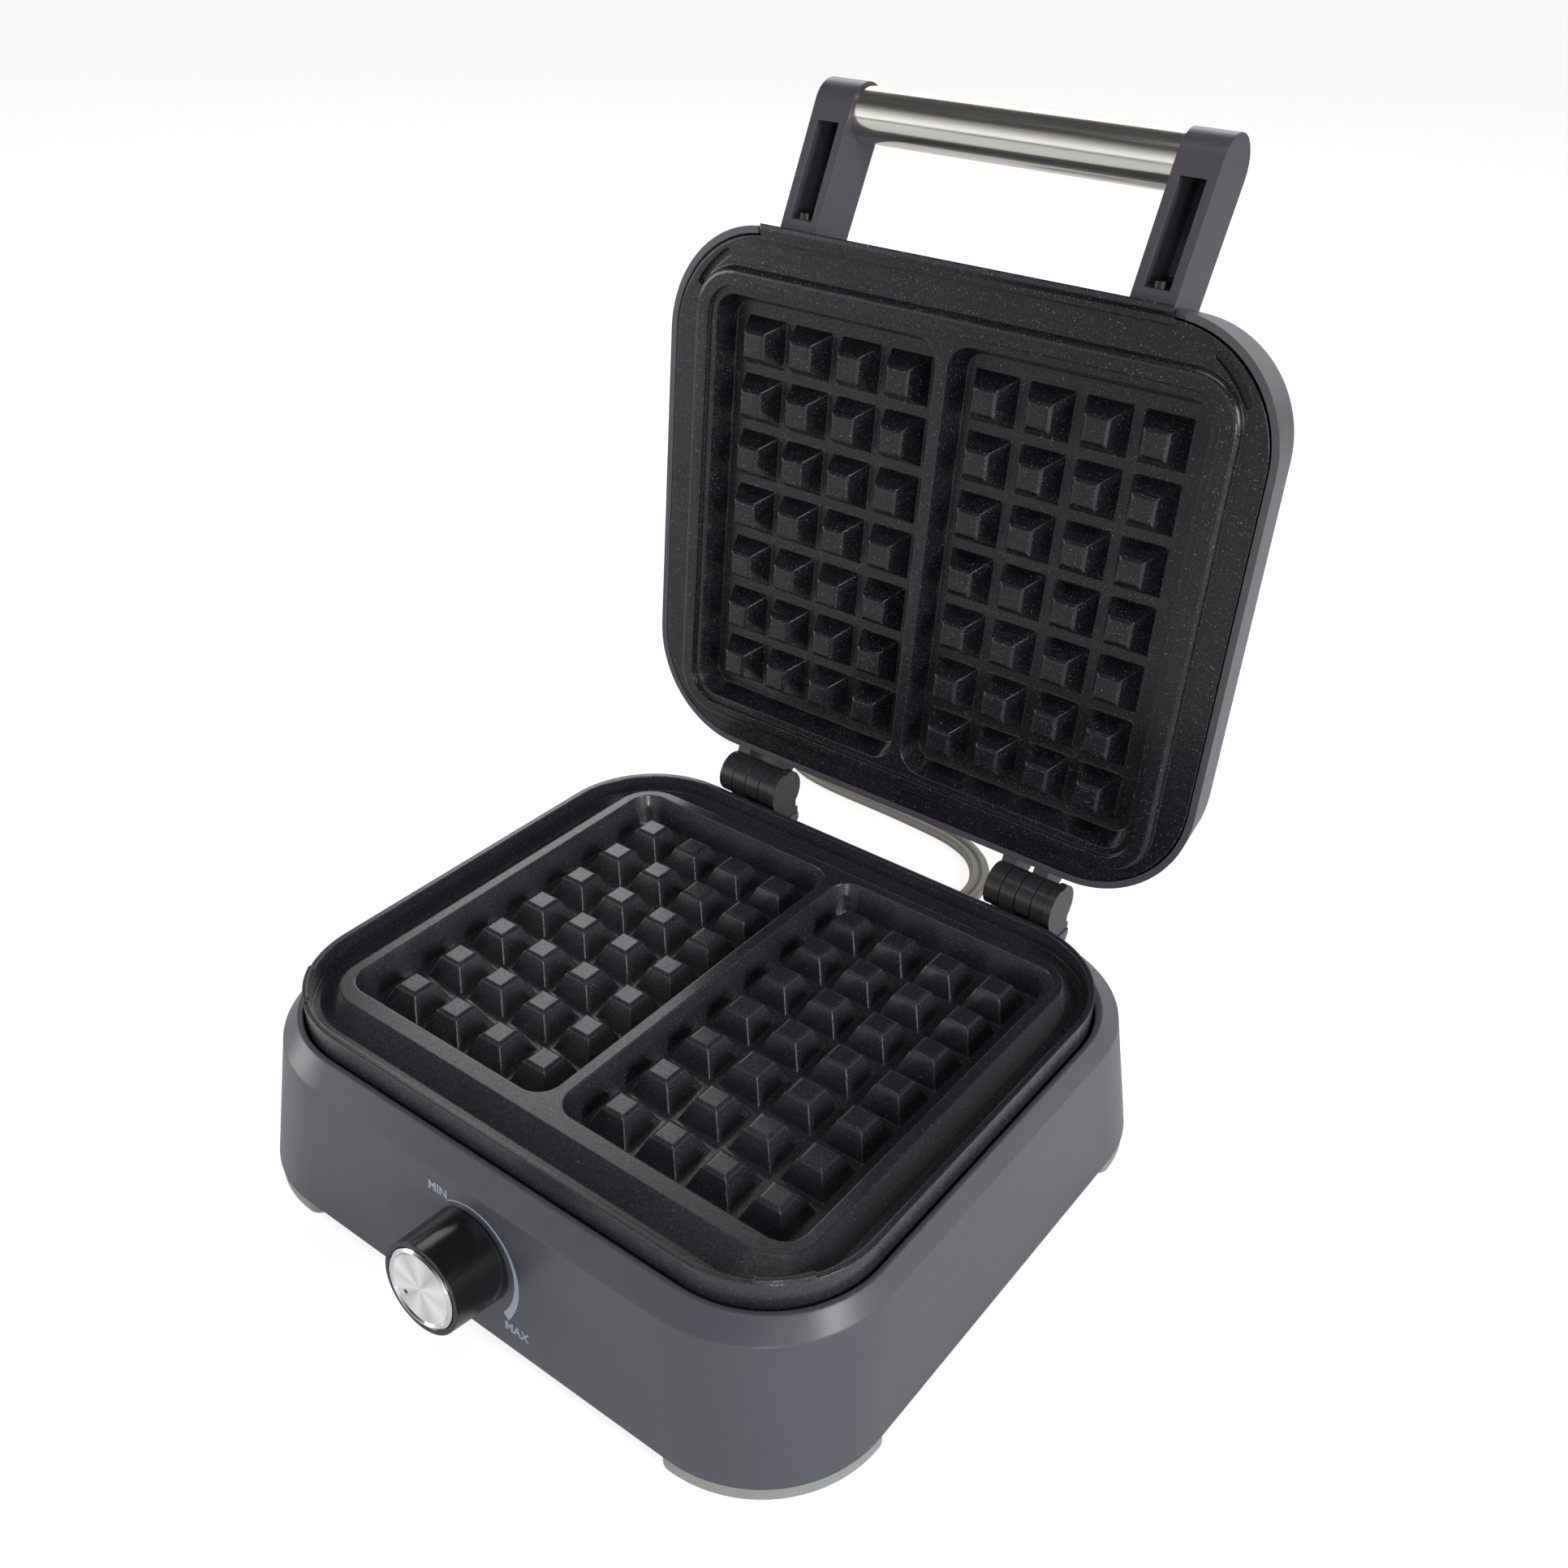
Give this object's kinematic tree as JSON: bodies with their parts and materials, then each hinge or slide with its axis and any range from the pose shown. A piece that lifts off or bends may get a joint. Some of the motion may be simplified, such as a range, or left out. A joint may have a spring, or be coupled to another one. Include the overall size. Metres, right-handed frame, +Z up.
{
  "type": "belgian waffle maker",
  "caption": "Electric waffle maker with hinged lid, studded waffle plates, bar handle, heat knob and mains cord, shown open.",
  "frame": {"origin": "on the table plane under the four feet, at the middle of the rigid pieces from left to right and from front to back with the lid open; the middle of the studs lies 18.26 mm nearer to the front", "axes": "+Z up, the knob faces -Y, the hinges are at +Y, +X is to the right of someone who faces the knob"},
  "size_m": [0.3045, 0.508, 0.3333],
  "materials": {
    "housing": "fine satin texture",
    "cover": "matte",
    "foot": "matte",
    "plate_lower": "dark non-stick coating",
    "plate_upper": "dark non-stick coating with fine flecks",
    "element": "heat-darkened sheath",
    "sheet": "satin",
    "steel": "satin",
    "ceramic": "matte",
    "hinge": "satin",
    "rubber_black": "matte",
    "cord": "grey-beige flexible lead",
    "brass": "satin",
    "lid": "fine satin texture",
    "handle": "satin",
    "tube": "polished",
    "knob": "gloss",
    "chrome": "polished",
    "cap": "spun, turned rings"
  },
  "bodies": {
    "base": {"base_housing": "housing", "bottom_cover": "cover", "feet": "foot", "lower_plate": "plate_lower", "lower_heating_element": "element", "lower_reflector": "sheet", "reflector_screws": "steel", "base_screws": "steel", "thermostat_body": "ceramic", "thermostat_nut": "steel", "thermal_fuse": "steel", "terminal_block": "ceramic", "hinge_base_left": "hinge", "hinge_base_right": "hinge", "hinge_base_screws": "steel", "hinge_pin_left": "steel", "hinge_pin_right": "steel", "cord_grip": "rubber_black", "mains_cord": "cord", "mains_cord_coil": "cord", "plug_body": "cord", "plug_blades": "brass"},
    "lid": {"lid_housing": "lid", "upper_plate": "plate_upper", "upper_heating_element": "element", "upper_reflector": "sheet", "upper_reflector_screws": "steel", "hinge_leaf_left": "hinge", "hinge_leaf_right": "hinge", "hinge_leaf_screws": "steel", "handle_arm_left": "handle", "handle_arm_right": "handle", "handle_tube": "tube", "handle_screws": "steel"},
    "knob": {"knob_body": "knob", "knob_ring": "chrome", "knob_cap": "cap", "thermostat_shaft": "steel"}
  },
  "joints": [
    {"name": "lid_hinge", "type": "hinge", "parent": "base", "child": "lid", "pos_m": [0, 0.09134, 0.0769], "axis": [1, 0, 0], "range_deg": [0, 95.3]},
    {"name": "knob_turn", "type": "hinge", "parent": "base", "child": "knob", "pos_m": [-0.001, -0.13466, 0.0342], "axis": [0, 0.9918, -0.128], "range_deg": [0, 262]}
  ]
}
